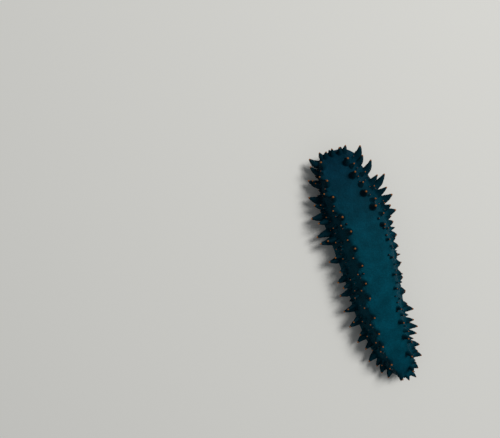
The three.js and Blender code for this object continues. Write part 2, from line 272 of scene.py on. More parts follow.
collar = np.array([35, 66, 90, 114, 145])  # angles of those round the head's tip
vent_ring = np.array([30, 90, 150])
large_rows = [row for side in (1, -1) for row in mirrored(papilla_rows(side), side)]
large_rows.append((0.02, collar, 6.5 + scatter(collar, 3), 2.0, 0.5, 0.1))
large_rows.append((0.982, vent_ring, 4.5, 1.7, -0.4, 0.2))
fine_collar = np.arange(8, 175, 12)
fine_rows = [row for side in (1, -1) for row in mirrored(small_rows(side), side)]
collar_u, collar_length = 0.02 + 0.014 * scatter(fine_collar, 61), 3.6 + scatter(fine_collar, 62)
fine_rows.append((collar_u, fine_collar, collar_length, 1.3, 0.5, 0))
fine_rows.append((0.985, np.arange(10, 180, 32), 2.4, 1.1, -0.4, 0.1))


def spaced_out(large, fine):
    """The large papillae, and those of the fine ones that don't stand in another's root."""
    kept = list(large)
    for one in fine:
        here = skin_point(one[0], one[1])
        others = np.array(kept)
        apart = np.linalg.norm(skin_point(others[:, 0], others[:, 1]) - here, axis=1)
        if (apart > 1.05 * (others[:, 3] + one[3]) * MM).all():
            kept.append(one)
    return np.array(kept)


large_table = gather(large_rows)
papilla_table = spaced_out(large_table, gather(fine_rows))
print(len(large_table), "large papillae and", len(papilla_table) - len(large_table), "small ones")

# %% Directions of the papillae
papilla_u, papilla_angle, papilla_length, papilla_radius, papilla_forward, papilla_lift = papilla_table.T
papilla_length, papilla_radius = papilla_length * MM, papilla_radius * MM
papilla_root = skin_point(papilla_u, papilla_angle)
papilla_out = skin_normal(papilla_u, papilla_angle)
lean = np.stack([0 * papilla_forward, -papilla_forward, papilla_lift], -1)
index = np.arange(len(papilla_u))
waver = np.stack([scatter(index, salt) for salt in (91, 92, 93)], -1)
WAVER = 0.13  # no two point quite the same way
papilla_way = unit(unit(papilla_out + lean) + WAVER * waver)
papilla_start = unit(papilla_out + papilla_way)  # the direction in which each one leaves the skin
MOUND_SHARE = 0.32  # height of the swelling under a papilla, in shares of its radius
MOUND_WIDTH = 1.5
TIP_MARGIN = 0.2 * MM

low_corner, high_corner = np.array(cad_box)
room = np.where(papilla_way > 0, high_corner - papilla_root, papilla_root - low_corner)
room = room / np.maximum(np.abs(papilla_way), 1e-6) - MOUND_SHARE * papilla_radius[:, None] - TIP_MARGIN
papilla_length = np.minimum(papilla_length, room.min(axis=1))  # no tip passes the plain model's outline
print("longest papilla", round(papilla_length.max() * 1000, 1), "mm")

# %% [markdown]
# The skin is one closed mesh, laid as rings from head to tail that end on a single point at each end. The
# rings lie closer together at the blunt ends, and each ring's corners are an equal distance apart, so that
# the faces stay nearly square all over. It's made with numpy, because a hundred thousand corners would be
# slow one by one.

# %% Grid of the skin
END_RINGS, END_SHARE, MIDDLE_RINGS, RING_SIDES = 24, 0.03, 376, 216


def ring_shares():
    end = END_SHARE * (np.arange(1, END_RINGS + 1) / END_RINGS) ** 2
    middle = np.linspace(END_SHARE, 1 - END_SHARE, MIDDLE_RINGS + 1)[1:-1]
    return np.concatenate([end, middle, 1 - end[::-1]])


def even_angles(count):
    """Angles that part the slice at mid-body into equal lengths, from the middle of the sole."""
    fine = np.linspace(-90, 270, 36001)
    steps = np.linalg.norm(np.diff(skin_point(0.45, fine), axis=0), axis=1)
    travelled = np.concatenate([[0], np.cumsum(steps)])
    return np.interp(np.arange(count) / count * travelled[-1], travelled, fine)


grid_u, grid_angle = np.meshgrid(ring_shares(), even_angles(RING_SIDES), indexing="ij")
grid = skin_point(grid_u, grid_angle)
grid_normal = skin_normal(grid_u, grid_angle)
grid_share = height_share(grid_angle)
print("skin grid of", grid.shape[0], "rings with", grid.shape[1], "corners each")

# %% Swellings under the papillae, mouth seat and vent
MOUTH_U = 0.083
MOUTH = np.array([float(along(SIDEWAYS, MOUTH_U)), (MOUTH_U - 0.5) * BODY_LENGTH, 0.0])
SEAT_RADIUS, SEAT_ROOF = 10.2 * MM, 9.2 * MM
VENT_DEPTH, VENT_RADIUS, VENT_FOLDS = 4.6 * MM, 2.3 * MM, 9

near_papilla = np.zeros(grid.shape[:2])
swelling = np.zeros(grid.shape[:2])
for root, radius in zip(papilla_root, papilla_radius):
    apart = np.linalg.norm(grid - root, axis=-1)
    swelling = np.maximum(swelling, MOUND_SHARE * radius * np.exp(-((apart / (MOUND_WIDTH * radius)) ** 2)))
    darkness = min(1.0, radius / (2.0 * MM)) ** 2
    near_papilla = np.maximum(near_papilla, darkness * np.exp(-((apart / (1.2 * radius)) ** 4)))
grid = grid + grid_normal * swelling[..., None]

from_mouth = np.hypot(grid[..., 0] - MOUTH[0], grid[..., 1] - MOUTH[1])
in_seat = (1 - smooth(SEAT_RADIUS - 0.9 * MM, SEAT_RADIUS + 0.7 * MM, from_mouth)) * (grid_share < 0.4)
grid[..., 2] += (SEAT_ROOF - grid[..., 2]) * in_seat

tail_tip = skin_point(1.0, 0.0)
aside, above = grid[..., 0] - tail_tip[0], grid[..., 2] - tail_tip[2]
from_vent = np.hypot(aside, above)
at_tail = smooth(0.94, 0.97, grid_u)
folds = np.cos(VENT_FOLDS * np.arctan2(above, aside)) * np.exp(-(((from_vent - 3.2 * MM) / (1.4 * MM)) ** 2))
grid[..., 1] -= at_tail * VENT_DEPTH * np.exp(-((from_vent / VENT_RADIUS) ** 2))
grid[..., 1] += at_tail * 0.4 * MM * folds
# The vent pit is darkened too, as painted shade in the recess.
near_papilla = np.maximum(near_papilla, at_tail * np.exp(-((from_vent / VENT_RADIUS) ** 4)))
tail_pit = tail_tip - np.array([0, VENT_DEPTH, 0])
print("highest swelling", round(swelling.max() * 1000, 2), "mm")


# %% Mesh of the skin
def grid_faces(rings, sides):
    """Faces of rings that are closed by one point at each end, with all of them pointing outwards."""
    ring, side = np.meshgrid(np.arange(rings - 1), np.arange(sides), indexing="ij")
    here, onward = ring * sides + side, ring * sides + (side + 1) % sides
    quads = np.stack([here, here + sides, onward + sides, onward], -1)
    first, last, k = rings * sides, rings * sides + 1, np.arange(sides)
    top = (rings - 1) * sides
    head = np.stack([np.full(sides, first), k, (k + 1) % sides], -1)
    tail = np.stack([np.full(sides, last), top + (k + 1) % sides, top + k], -1)
    return [*quads.reshape(-1, 4).tolist(), *head.tolist(), *tail.tolist()]


def new_object(name, corners, faces=(), **attributes):
    """An object at the origin, shaped by its mesh, with a value or vector for each corner by name."""
    mesh = bpy.data.meshes.new(name)
    mesh.from_pydata(np.asarray(corners).tolist(), [], list(faces))
    for key, values in attributes.items():
        values = np.asarray(values, np.float32)
        kind, field = ("FLOAT_VECTOR", "vector") if values.ndim == 2 else ("FLOAT", "value")
        mesh.attributes.new(key, kind, "POINT").data.foreach_set(field, values.ravel())
    mesh.shade_smooth()
    thing = bpy.data.objects.new(name, mesh)
    scene.collection.objects.link(thing)
    return thing


def with_ends(values, head, tail):
    flat = values.reshape(-1, values.shape[-1]) if values.ndim == 3 else values.ravel()
    return np.concatenate([flat, [head, tail]])


def on_flank(share):
    """1 on the flanks and 0 on the back and the sole, by height share."""
    return smooth(0.12, 0.3, share) * (1 - smooth(0.93, 0.99, share))


sole_mask = (1 - smooth(0.1, 0.2, grid_share)) * smooth(0.3, 0.75, end_scale(grid_u))
skin = new_object(
    "skin",
    with_ends(grid, skin_point(0.0, 0.0), tail_pit),
    grid_faces(*grid.shape[:2]),
    near_papilla=with_ends(near_papilla, 0, 1),
    flank=with_ends(on_flank(grid_share), 0, 0),
    sole=with_ends(sole_mask, 0, 0),
)
print("skin has", len(skin.data.polygons), "faces")


# %% Bake map of the skin
def lay_out_skin(mesh, rings, sides):
    """A map with head to tail one way and round the body the other way, cut open along the sole."""
    layer = mesh.uv_layers.new(name="OFBake")
    corner = np.empty(len(mesh.loops), np.int32)
    mesh.loops.foreach_get("vertex_index", corner)
    side = np.where(corner < rings * sides, corner % sides, -1)
    first_side = np.repeat(np.arange(len(mesh.polygons)) % sides, [len(p.vertices) for p in mesh.polygons])
    wrapped = np.where((side == 0) & (first_side == sides - 1), sides, side)
    pole = np.where(corner == rings * sides, 0.0, 1.0)
    across = np.where(side < 0, first_side + 0.5, wrapped) / sides
    lengthwise = np.where(side < 0, pole, (corner // sides + 1) / (rings + 1))
    layer.uv.foreach_set("vector", np.stack([lengthwise, across], -1).astype(np.float32).ravel())


lay_out_skin(skin.data, *grid.shape[:2])
print("skin map", skin.data.uv_layers[0].name)

# %% [markdown]
# Node trees, both for materials and for geometry, are easier to read with a few small helpers. One adds a
# node and feeds its inputs, each with a plain value or the output of another node. The others use it for
# sums on numbers and vectors, for noise and for blends.

# %% Helpers for node trees
def add(tree, kind, given=None, **settings):
    """Adds a node, sets its properties and feeds its inputs, by name or number, with values or outputs."""
    node = tree.nodes.new(kind)
    for name, value in settings.items():
        setattr(node, name, value)
    for key, value in (given or {}).items():
        named = [s for s in node.inputs if s.name == key and s.enabled]  # hidden twins share a name
        socket = named[0] if named else node.inputs[key]
        if isinstance(value, bpy.types.NodeSocket):
            tree.links.new(value, socket)
        else:
            socket.default_value = value
    return node


def maths(tree, operation, *values):
    return add(tree, "ShaderNodeMath", dict(enumerate(values)), operation=operation).outputs[0]


def product(tree, *values):
    """All the values multiplied."""
    result = values[0]
    for value in values[1:]:
        result = maths(tree, "MULTIPLY", result, value)
    return result


def vectors(tree, operation, *values):
    node = add(tree, "ShaderNodeVectorMath", dict(enumerate(values)), operation=operation)
    return node.outputs[1 if operation == "LENGTH" else 0]


def scaled(tree, vector, size):
    """A vector made longer or shorter by a number."""
    return add(tree, "ShaderNodeVectorMath", {0: vector, 3: size}, operation="SCALE").outputs[0]


def total(tree, *values):
    """All the vectors added up."""
    result = values[0]
    for value in values[1:]:
        result = vectors(tree, "ADD", result, value)
    return result


def ramp(tree, value, low, high, start=0.0, end=1.0):
    """A soft step from start to end, as value goes from low to high."""
    given = {"Value": value, "From Min": low, "From Max": high, "To Min": start, "To Max": end}
    return add(tree, "ShaderNodeMapRange", given, interpolation_type="SMOOTHSTEP").outputs[0]


def split(tree, vector):
    return add(tree, "ShaderNodeSeparateXYZ", {0: vector}).outputs


def object_place(tree):
    """The place on the object itself, for materials."""
    return add(tree, "ShaderNodeTexCoord").outputs["Object"]


def noise(tree, place, scale, detail, roughness=0.5, seed=None):
    """Soft noise between 0 and 1 on a place; a seed picks another pattern."""
    given = {"Vector": place, "Scale": scale, "Detail": detail, "Roughness": roughness}
    if seed is None:
        return add(tree, "ShaderNodeTexNoise", given).outputs[0]
    return add(tree, "ShaderNodeTexNoise", {**given, "W": seed}, noise_dimensions="4D").outputs[0]


def blend_colours(tree, factor, first, second):
    return add(tree, "ShaderNodeMix", {0: factor, 6: first, 7: second}, data_type="RGBA").outputs[2]


print("helpers ready")


# %% Helpers that run a geometry tree
def new_tree(name, **sizes):
    """A geometry tree with an input for each size: its value, or its kind if it has no value yet."""
    tree = bpy.data.node_groups.new(name, "GeometryNodeTree")
    tree.interface.new_socket("Geometry", in_out="INPUT", socket_type="NodeSocketGeometry")
    for key, value in {**sizes, "material": "Material"}.items():
        kind = value if isinstance(value, str) else type(value).__name__.title()
        title = key.replace("_", " ").title()
        socket = tree.interface.new_socket(title, in_out="INPUT", socket_type="NodeSocket" + kind)
        if value != kind:
            socket.default_value = value
    tree.interface.new_socket("Geometry", in_out="OUTPUT", socket_type="NodeSocketGeometry")
    return tree, tree.nodes.new("NodeGroupInput").outputs, tree.nodes.new("NodeGroupOutput").inputs


def grow(thing, tree, **sizes):
    """Runs a geometry tree on an object and leaves the result as its plain mesh."""
    modifier = thing.modifiers.new("Grow", "NODES")
    modifier.node_group = tree
    for socket in tree.interface.items_tree:
        key = socket.name.lower().replace(" ", "_")
        if socket.in_out == "INPUT" and key in sizes:
            modifier[socket.identifier] = sizes[key]
    depsgraph = bpy.context.evaluated_depsgraph_get()
    grown = thing.evaluated_get(depsgraph)
    mesh = bpy.data.meshes.new_from_object(grown, preserve_all_data_layers=True, depsgraph=depsgraph)
    plain = thing.data
    thing.modifiers.clear()
    thing.data = mesh
    bpy.data.meshes.remove(plain)
    mesh.name = thing.name
    print(thing.name, "has", len(mesh.polygons), "faces")


def attribute(tree, name, kind="FLOAT"):
    return add(tree, "GeometryNodeInputNamedAttribute", {"Name": name}, data_type=kind).outputs[0]


def direction(tree, name):
    return attribute(tree, name, "FLOAT_VECTOR")


def place_now(tree):
    return add(tree, "GeometryNodeInputPosition").outputs[0]


def store(tree, geometry, name, value, kind="FLOAT", domain="POINT"):
    given = {"Geometry": geometry, "Name": name, "Value": value}
    return add(tree, "GeometryNodeStoreNamedAttribute", given, data_type=kind, domain=domain).outputs[0]


def finish_tree(tree, geometry, given, out):
    """Ends a tree: no instance may be left for the export, and the material goes on last."""
    real = add(tree, "GeometryNodeRealizeInstances", {"Geometry": geometry}).outputs[0]
    dressed = add(tree, "GeometryNodeSetMaterial", {"Geometry": real, "Material": given["Material"]})
    tree.links.new(dressed.outputs[0], out["Geometry"])
    return tree


print("geometry helpers ready")

# %% [markdown]
# The colours come from the photograph: a dark blue-green back, darker and bluer at the head end and round
# each papilla, and brown-orange tips. The flanks carry a share of painted shade, and the vent pit is painted
# shade too. The skin and the papillae have to meet without a line, so one function makes the colour for both.
# It reads Object coordinates, so the mottling stays on the animal in every view. The base colour varies, but
# sheen and gloss are the same all over and are set on the shader itself.

# %% Colour of the skin
BACK_TEAL = (0.0004, 0.048, 0.072, 1)
HEAD_BLUE = (0.0005, 0.021, 0.038, 1)
# Painted shade for the flanks: its colour, and the share of it that they get.
FLANK_PAINTED_SHADE, FLANK_SHADE_SHARE = (0.0008, 0.0135, 0.021, 1), 0.3
# The papillae's own dark flesh, which also darkens the vent pit as painted shade.
PAPILLA_DARK_AND_VENT_SHADE = (0.0008, 0.016, 0.025, 1)
SOLE_GREY = (0.026, 0.056, 0.048, 1)
SOLE_DARK = (0.007, 0.026, 0.027, 1)
TIP_ORANGE = (0.27, 0.095, 0.022, 1)
SKIN_ROUGHNESS, SKIN_SHEEN, SKIN_BUMP = 0.6, 0.02, 0.6


def mesh_value(tree, name):
    """A value that the mesh keeps for each corner."""
    return add(tree, "ShaderNodeAttribute", attribute_name=name).outputs["Fac"]


def skin_colour(tree, darkness):
    """Mottled colour by place on the body, with painted shade on the flanks; darkness is 1 where a papilla
    stands, and in the vent pit, where it is painted shade.
    """
    place = object_place(tree)
    lengthwise = split(tree, place)[1]
    headward = ramp(tree, lengthwise, 0.0, -0.115)
    colour = blend_colours(tree, headward, BACK_TEAL, HEAD_BLUE)
    tailward = ramp(tree, lengthwise, 0.07, 0.105, 0.0, 0.35)
    colour = blend_colours(tree, tailward, colour, HEAD_BLUE)
    # The flanks get a share of painted shade.
    colour = blend_colours(tree, product(tree, mesh_value(tree, "flank"), FLANK_SHADE_SHARE), colour, FLANK_PAINTED_SHADE)
    clouds = ramp(tree, noise(tree, place, 85.0, 4.0, 0.6), 0.3, 0.7, 0.78, 1.18)
    grains = ramp(tree, noise(tree, place, 900.0, 2.0), 0.35, 0.7, 0.88, 1.12)
    colour = scaled(tree, colour, product(tree, clouds, grains))
    return blend_colours(tree, darkness, colour, PAPILLA_DARK_AND_VENT_SHADE), place


def new_material(name, roughness, specular):
    material = bpy.data.materials.new(name)
    material.use_nodes = True
    shader = material.node_tree.nodes["Principled BSDF"].inputs
    shader["Roughness"].default_value = roughness
    shader["Specular IOR Level"].default_value = specular
    return material, material.node_tree


def leather_bump(tree, place, strength):
    """Fine pores and creases, too small for the mesh."""
    pores = add(tree, "ShaderNodeTexVoronoi", {"Vector": place, "Scale": 1400.0}).outputs["Distance"]
    height = maths(tree, "MULTIPLY_ADD", pores, 0.45, noise(tree, place, 420.0, 6.0))
    given = {"Strength": strength, "Distance": 0.5 * MM, "Height": height}
    return add(tree, "ShaderNodeBump", given).outputs[0]


def ragged(tree, value, spots, size):
    """A value shifted up or down by noise, so that a border along it wanders."""
    return maths(tree, "ADD", value, maths(tree, "MULTIPLY_ADD", spots, size, -size / 2))


def paint(material, colour, normal):
    """Ends a material: its colour and its bump go to the shader."""
    tree = material.node_tree
    shader = tree.nodes["Principled BSDF"].inputs
    tree.links.new(colour, shader["Base Color"])
    tree.links.new(normal, shader["Normal"])
    print(material.name, "has", len(tree.nodes), "nodes")


skin_material, tree = new_material("sea_cucumber_skin", SKIN_ROUGHNESS, SKIN_SHEEN)
colour, place = skin_colour(tree, mesh_value(tree, "near_papilla"))
spots = ramp(tree, noise(tree, place, 260.0, 5.0), 0.36, 0.62)
under = blend_colours(tree, spots, SOLE_DARK, SOLE_GREY)
colour = blend_colours(tree, mesh_value(tree, "sole"), colour, under)
paint(skin_material, colour, leather_bump(tree, place, SKIN_BUMP))

# %% [markdown]
# Living skin is never smooth: it gathers in soft folds across the body and has low warts on its flanks.
# A small Geometry Nodes tree makes them. It moves each corner along its normal by a stretched noise for the
# folds and by rounded cells for the warts. They are real shape, so they also show in the outline.

# %% Folds and warts of the skin
def make_relief_tree():
    tree, given, out = new_tree(
        "skin_relief", fold_depth=0.34 * MM, fold_spacing=3.4 * MM, fold_width=13 * MM, wart_height=0.42 * MM,
        wart_spacing=3.0 * MM, seed=4.0)
    place = place_now(tree)
    across = maths(tree, "DIVIDE", 1.0, given["Fold Width"])
    lengthwise = maths(tree, "DIVIDE", 1.0, given["Fold Spacing"])
    stretch = add(tree, "ShaderNodeCombineXYZ", {0: across, 1: lengthwise, 2: across}).outputs[0]
    wave = noise(tree, vectors(tree, "MULTIPLY", place, stretch), 1.0, 3.0, 0.6, given["Seed"])
    fold = product(tree, maths(tree, "MULTIPLY_ADD", wave, 2.0, -1.0), given["Fold Depth"])
    cells = {"Vector": scaled(tree, place, maths(tree, "DIVIDE", 1.0, given["Wart Spacing"])),
             "W": given["Seed"], "Scale": 1.0, "Randomness": 0.9}
    away = add(tree, "ShaderNodeTexVoronoi", cells, voronoi_dimensions="4D").outputs["Distance"]
    wart = product(tree, ramp(tree, away, 0.1, 0.55, 1.0, 0.0), given["Wart Height"])
    flank = maths(tree, "MULTIPLY_ADD", attribute(tree, "flank"), 0.6, 0.4)
    rise = product(tree, maths(tree, "ADD", fold, wart), flank)
    offset = scaled(tree, add(tree, "GeometryNodeInputNormal").outputs[0], rise)
    moved = add(tree, "GeometryNodeSetPosition", {"Geometry": given["Geometry"], "Offset": offset})
    return finish_tree(tree, moved.outputs[0], given, out)


grow(skin, make_relief_tree(), material=skin_material)

# %% [markdown]
# Papillae, tube feet and tentacle stalks are all the same kind of thing: a soft stalk with its own outline,
# grown from a point in a direction. One tree makes them all. It takes a mesh of loose points, each with a
# root, an outward direction, a growing direction, a length and a radius, puts a cylinder on each, and bends
# every cylinder into its stalk. The outline is a Float Curve. A papilla's foot is then laid on the skin
# with Geometry Proximity, so that it grows out of it in one sweep, as it does on the animal.

# %% Tree that grows stalks
def outline_curve(tree, height, outline):
    """Reads an outline of (height, width) pairs, both from 0 to 1, at each height."""
    node = add(tree, "ShaderNodeFloatCurve", {"Value": height})
    points = node.mapping.curves[0].points
    while len(points) < len(outline):
        points.new(0.5, 0.5)
    for point, (at, width) in zip(points, outline):
        point.location = (at, width)
    node.mapping.update()
    return node.outputs[0]


RING_CROWDING = 0.13  # draws a stalk's rings together at its root and tip
RIM_DEPTH = 0.32 * MM  # how far the rim of a papilla's foot goes under the skin
SOFTENING_STEPS = 3
PATCH_SHARE = 0.94  # leaves a gap between neighbours on the bake map


def unit_barrel(tree, given):
    """A cylinder that keeps, at each corner, its height and its place on the ring."""
    shape = {"Vertices": given["Sides"], "Side Segments": given["Rings"], "Radius": 1.0, "Depth": 1.0}
    barrel = add(tree, "GeometryNodeMeshCylinder", shape, fill_type="TRIANGLE_FAN")
    x, y, z = split(tree, place_now(tree))
    level = maths(tree, "ADD", z, 0.5)
    crowding = product(tree, maths(tree, "SINE", product(tree, level, math.tau)), RING_CROWDING)
    geometry = store(tree, barrel.outputs["Mesh"], "height", maths(tree, "SUBTRACT", level, crowding))
    spoke = add(tree, "ShaderNodeCombineXYZ", {0: x, 1: y}).outputs[0]
    geometry = store(tree, geometry, "spoke", spoke, "FLOAT_VECTOR")
    return store(tree, geometry, "OFBake", barrel.outputs["UV Map"], "FLOAT2", "CORNER")


def bent_place(tree, given, outline):
    """Where each corner of a barrel goes on its stalk."""
    height, length = attribute(tree, "height"), attribute(tree, "length")
    root, out, way, side, spoke = (direction(tree, name) for name in ("root", "out", "way", "side", "spoke"))
    early = product(tree, height, maths(tree, "SUBTRACT", 1.0, height), length)
    late = product(tree, height, height, length)
    middle = total(tree, scaled(tree, out, early), scaled(tree, way, late), root)
    turn = product(tree, height, 2.0)
    heading = total(tree, scaled(tree, out, maths(tree, "SUBTRACT", 1.0, turn)), scaled(tree, way, turn))
    heading = vectors(tree, "NORMALIZE", heading)
    x, y, _ = split(tree, spoke)
    upright = vectors(tree, "CROSS_PRODUCT", heading, side)
    radial = total(tree, scaled(tree, side, x), scaled(tree, upright, y))
    radius = product(tree, attribute(tree, "radius"), given["Widest"])
    surface = total(tree, middle, scaled(tree, radial, radius))
    cells = scaled(tree, surface, maths(tree, "DIVIDE", 1.0, given["Lump Size"]))
    lumps = noise(tree, cells, 1.0, 1.0, 0.5, given["Seed"])
    lumpy = maths(tree, "MULTIPLY_ADD", maths(tree, "SUBTRACT", lumps, 0.5), given["Lumps"], 1.0)
    waves = maths(tree, "DIVIDE", product(tree, height, length), given["Wrinkle Spacing"])
    waves = product(tree, maths(tree, "MULTIPLY_ADD", lumps, 1.6, waves), math.tau)
    lumpy = maths(tree, "MULTIPLY_ADD", maths(tree, "SINE", waves), given["Wrinkles"], lumpy)
    width = product(tree, outline_curve(tree, height, outline), radius, lumpy)
    place = total(tree, middle, scaled(tree, radial, width))
    hub = maths(tree, "SUBTRACT", 1.0, vectors(tree, "LENGTH", spoke))
    sunk = product(tree, hub, maths(tree, "LESS_THAN", height, 0.5), given["Hub Sink"])
    return vectors(tree, "SUBTRACT", place, scaled(tree, out, sunk)), height, hub


def seat_on_skin(tree, given, geometry, height, hub):
    """Lays the lowest rings of each stalk on the skin, a hair below it at the rim, and softens folds."""
    skin_mesh = add(tree, "GeometryNodeObjectInfo", {"Object": given["Skin"]}).outputs["Geometry"]
    nearest = add(tree, "GeometryNodeProximity", {0: skin_mesh}, target_element="FACES")
    asked = {"Mesh": skin_mesh, "Value": add(tree, "GeometryNodeInputNormal").outputs[0]}
    facing = add(tree, "GeometryNodeSampleNearestSurface", asked, data_type="FLOAT_VECTOR").outputs["Value"]
    here = place_now(tree)
    under = ramp(tree, height, 0.0, 0.1, RIM_DEPTH, 0.0)
    target = vectors(tree, "SUBTRACT", nearest.outputs["Position"], scaled(tree, facing, under))
    pull = product(tree, ramp(tree, height, 0.0, 0.2, 1.0, 0.0), maths(tree, "SUBTRACT", 1.0, hub))
    offset = scaled(tree, vectors(tree, "SUBTRACT", target, here), pull)
    seated = add(tree, "GeometryNodeSetPosition", {"Geometry": geometry, "Offset": offset}).outputs[0]
    foot = product(tree, ramp(tree, height, 0.0, 0.01), ramp(tree, height, 0.15, 0.3, 1.0, 0.0))
    blur = {"Value": here, "Iterations": SOFTENING_STEPS, "Weight": foot}
    softened = add(tree, "GeometryNodeBlurAttribute", blur, data_type="FLOAT_VECTOR").outputs[0]
    return add(tree, "GeometryNodeSetPosition", {"Geometry": seated, "Position": softened}).outputs[0]


def make_stalk_tree(name, outline, seated):
    """A tree that grows a stalk of this outline from every point, laid on the skin if it's seated."""
    tree, given, out = new_tree(
        name, sides=14, rings=14, widest=1.0, hub_sink=1.0 * MM, lumps=0.2, lump_size=1.5 * MM, wrinkles=0.0,
        wrinkle_spacing=1.1 * MM, seed=2.0, patch_size=0.05, skin="Object")
    barrel = unit_barrel(tree, given)
    copies = add(tree, "GeometryNodeInstanceOnPoints", {"Points": given["Geometry"], "Instance": barrel})
    real = add(tree, "GeometryNodeRealizeInstances", {"Geometry": copies.outputs[0]}).outputs[0]
    place, height, hub = bent_place(tree, given, outline)
    geometry = add(tree, "GeometryNodeSetPosition", {"Geometry": real, "Position": place}).outputs[0]
    if seated:
        geometry = seat_on_skin(tree, given, geometry, height, hub)
    from_tip = product(tree, maths(tree, "SUBTRACT", 1.0, height), attribute(tree, "length"), 1 / MM)
    geometry = store(tree, geometry, "from_tip", from_tip)
    patch = scaled(tree, direction(tree, "OFBake"), product(tree, given["Patch Size"], PATCH_SHARE))
    patch = total(tree, patch, direction(tree, "patch"))
    geometry = store(tree, geometry, "OFBake", patch, "FLOAT2", "CORNER")
    geometry = add(tree, "GeometryNodeMergeByDistance", {"Geometry": geometry, "Distance": 2e-6}).outputs[0]
    geometry = add(tree, "GeometryNodeSetShadeSmooth", {"Geometry": geometry}).outputs[0]
    return finish_tree(tree, geometry, given, out)


def stalk_points(name, root, out, way, length, radius, flank=0.0):
    """Loose points that the stalk tree grows from, each with a square patch of the bake map."""
    side = np.cross(out, way)
    spare = np.cross(out, [0.31, 0.2, 0.93])
    side = unit(np.where(np.linalg.norm(side, axis=1, keepdims=True) > 1e-3, side, spare))
    cells = math.ceil(math.sqrt(len(root)))
    index = np.arange(len(root))
    patch = np.stack([index % cells, index // cells, 0 * index], -1) / cells
    points = new_object(name, root, root=root, out=out, way=way, side=side, length=length, radius=radius,
                        patch=patch, flank=np.broadcast_to(flank, length.shape))
    return points, 1 / cells


print("stalk tree ready")

# %% Material of the papillae
papilla_material, tree = new_material("papilla_flesh", SKIN_ROUGHNESS, SKIN_SHEEN)
height = mesh_value(tree, "height")
large = ramp(tree, mesh_value(tree, "radius"), 0.9 * MM, 1.8 * MM, 0.45, 1.0)
colour, place = skin_colour(tree, product(tree, large, ramp(tree, height, 0.0, 0.5)))
near_top = maths(tree, "MULTIPLY_ADD", height, -8.0, 8.0)  # keeps the spot small on short papillae
from_tip = maths(tree, "MAXIMUM", mesh_value(tree, "from_tip"), near_top)
edge = ragged(tree, from_tip, noise(tree, place, 1100.0, 2.0), 0.6)
orange = product(tree, ramp(tree, edge, 1.3, 0.7), large)
colour = blend_colours(tree, orange, colour, TIP_ORANGE)
paint(papilla_material, colour, leather_bump(tree, place, ramp(tree, height, 0.0, 0.3, SKIN_BUMP, 0.3)))

# %% Grow the papillae
FLARE = 1.75  # how much wider the foot is than the stalk
STOUTNESS = [(0, 1.15), (0.3, 1.15), (0.5, 0.95), (1, 1.0)]
PAPILLA_OUTLINE = [(0, 1.75), (0.05, 1.45), (0.13, 1.24), (0.3, 1.0), (0.55, 0.72), (0.78, 0.44), (0.9, 0.29),
                   (0.965, 0.19), (1, 0)]
STOUT_FROM = 1.55 * MM  # papillae at least this wide get the finer mesh
papilla_tree = make_stalk_tree("papilla_stalks", [(at, width / FLARE) for at, width in PAPILLA_OUTLINE], True)
stout = papilla_radius >= STOUT_FROM
papilla_foot = papilla_root + papilla_out * (0.8 * MOUND_SHARE * papilla_radius)[:, None]
papilla_width = papilla_radius * along(STOUTNESS, papilla_u, 1)


def grow_papillae(name, chosen, sides, rings, wrinkles):
    # Each papilla keeps the flank share of its root, so the flanks' painted shade runs on up its foot.
    points, patch_size = stalk_points(name, papilla_foot[chosen], papilla_start[chosen], papilla_way[chosen],
                                      papilla_length[chosen], papilla_width[chosen],
                                      on_flank(height_share(papilla_angle[chosen])))
    grow(points, papilla_tree, sides=sides, rings=rings, widest=FLARE, hub_sink=1.2 * MM, lumps=0.34,
         lump_size=1.4 * MM, wrinkles=wrinkles, patch_size=patch_size, skin=skin, material=papilla_material)
    return points


papillae = grow_papillae("papillae", stout, 20, 22, 0.045)
small_papillae = grow_papillae("small_papillae", ~stout, 10, 6, 0.0)

# %% [markdown]
# The sole carries tube feet in three bands, a broad one down the middle and one along each side. Each foot
# is a short stalk with a flat sucker on the floor. They grow upwards from the floor into the sole, so that
# every sucker lies exactly flat, and the animal stands on them.

# %% Places of the tube feet
BANDS = ((-0.64, 0.17), (0.0, 0.27), (0.64, 0.17))  # middle and reach, in shares of the sole's half-width
FOOT_SPACING, FEET_APART, ROW_SHARE = 3.1 * MM, 2.3 * MM, 0.87
FEET_FROM, FEET_TO = 0.145, 0.93


def foot_places():
    """Points on the floor under the three bands, in rows that are set off from each other."""
    places = [(0.0, 0.0)]
    rows = int((FEET_TO - FEET_FROM) * BODY_LENGTH / (FOOT_SPACING * ROW_SHARE))
    for row in range(rows + 1):
        u = FEET_FROM + (FEET_TO - FEET_FROM) * row / rows
        half = float(along(SOLE_HALF_WIDTH, u))
        for band, (middle, reach) in enumerate(BANDS):
            count = max(2, round(2 * reach * half / FOOT_SPACING))
            for k in range(count):
                share = (k + 0.5 + 0.25 * (-1) ** row) / count * 2 - 1
                key = row * 97 + band * 31 + k
                x = float(along(SIDEWAYS, u)) + (middle + reach * share) * half + 0.45 * MM * scatter(key, 71)
                y = (u - 0.5) * BODY_LENGTH + 0.5 * MM * scatter(key, 72)
                if min(math.hypot(x - a, y - b) for a, b in places[-40:] + places[:1]) > FEET_APART:
                    places.append((x, y))
    return np.array([(x, y, 0) for x, y in places])


foot_root = foot_places()
print(len(foot_root), "tube feet")

# %% Material of the tube feet
FOOT_BROWN = (0.075, 0.055, 0.030, 1)
FOOT_GREEN = (0.020, 0.055, 0.048, 1)
WET_ROUGHNESS, WET_SHEEN = 0.5, 0.2

foot_material, tree = new_material("tube_foot_flesh", WET_ROUGHNESS, WET_SHEEN)
place = object_place(tree)
upward = ragged(tree, mesh_value(tree, "height"), noise(tree, place, 500.0, 3.0), 0.6)
colour = blend_colours(tree, ramp(tree, upward, 0.15, 0.75), FOOT_BROWN, FOOT_GREEN)
paint(foot_material, colour, leather_bump(tree, place, 0.25))

